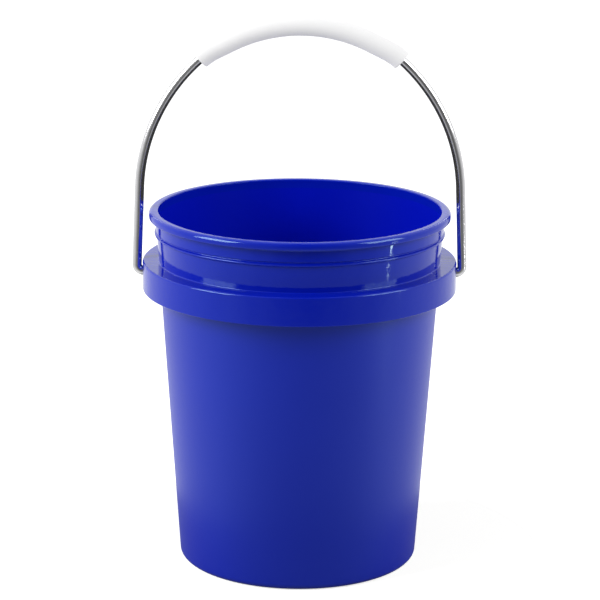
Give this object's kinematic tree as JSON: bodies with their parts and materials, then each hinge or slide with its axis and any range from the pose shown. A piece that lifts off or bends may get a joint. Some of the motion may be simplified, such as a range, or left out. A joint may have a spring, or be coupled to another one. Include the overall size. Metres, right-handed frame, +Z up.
{
  "type": "wash bucket",
  "caption": "Round tapered plastic wash bucket with a rounded lip, a ringed neck, a deep skirt collar and a swinging steel bail with a soft tubular grip.",
  "frame": {"origin": "centre of the standing ring, on the floor under the bucket's axis", "axes": "+Z up along the bucket's axis; X along the bail's hinge axis through both ears; the front, as the picture looks at it, faces -Y"},
  "size_m": [0.3356, 0.3144, 0.5542],
  "materials": {
    "bucket_plastic": "blue polyethylene, glossy on the collar and rim, satin on the body",
    "bail_steel": "polished bright steel",
    "grip_soft": "matte white soft sleeve"
  },
  "bodies": {
    "bucket": {"bucket_shell": "bucket_plastic"},
    "bail": {"bail_rod": "bail_steel", "grip_sleeve": "grip_soft"}
  },
  "joints": [
    {"name": "bail_swing", "type": "hinge", "parent": "bucket", "child": "bail", "pos_m": [0, 0, 0.2954], "axis": [1, 0, 0], "range_deg": [-146, 146]}
  ]
}
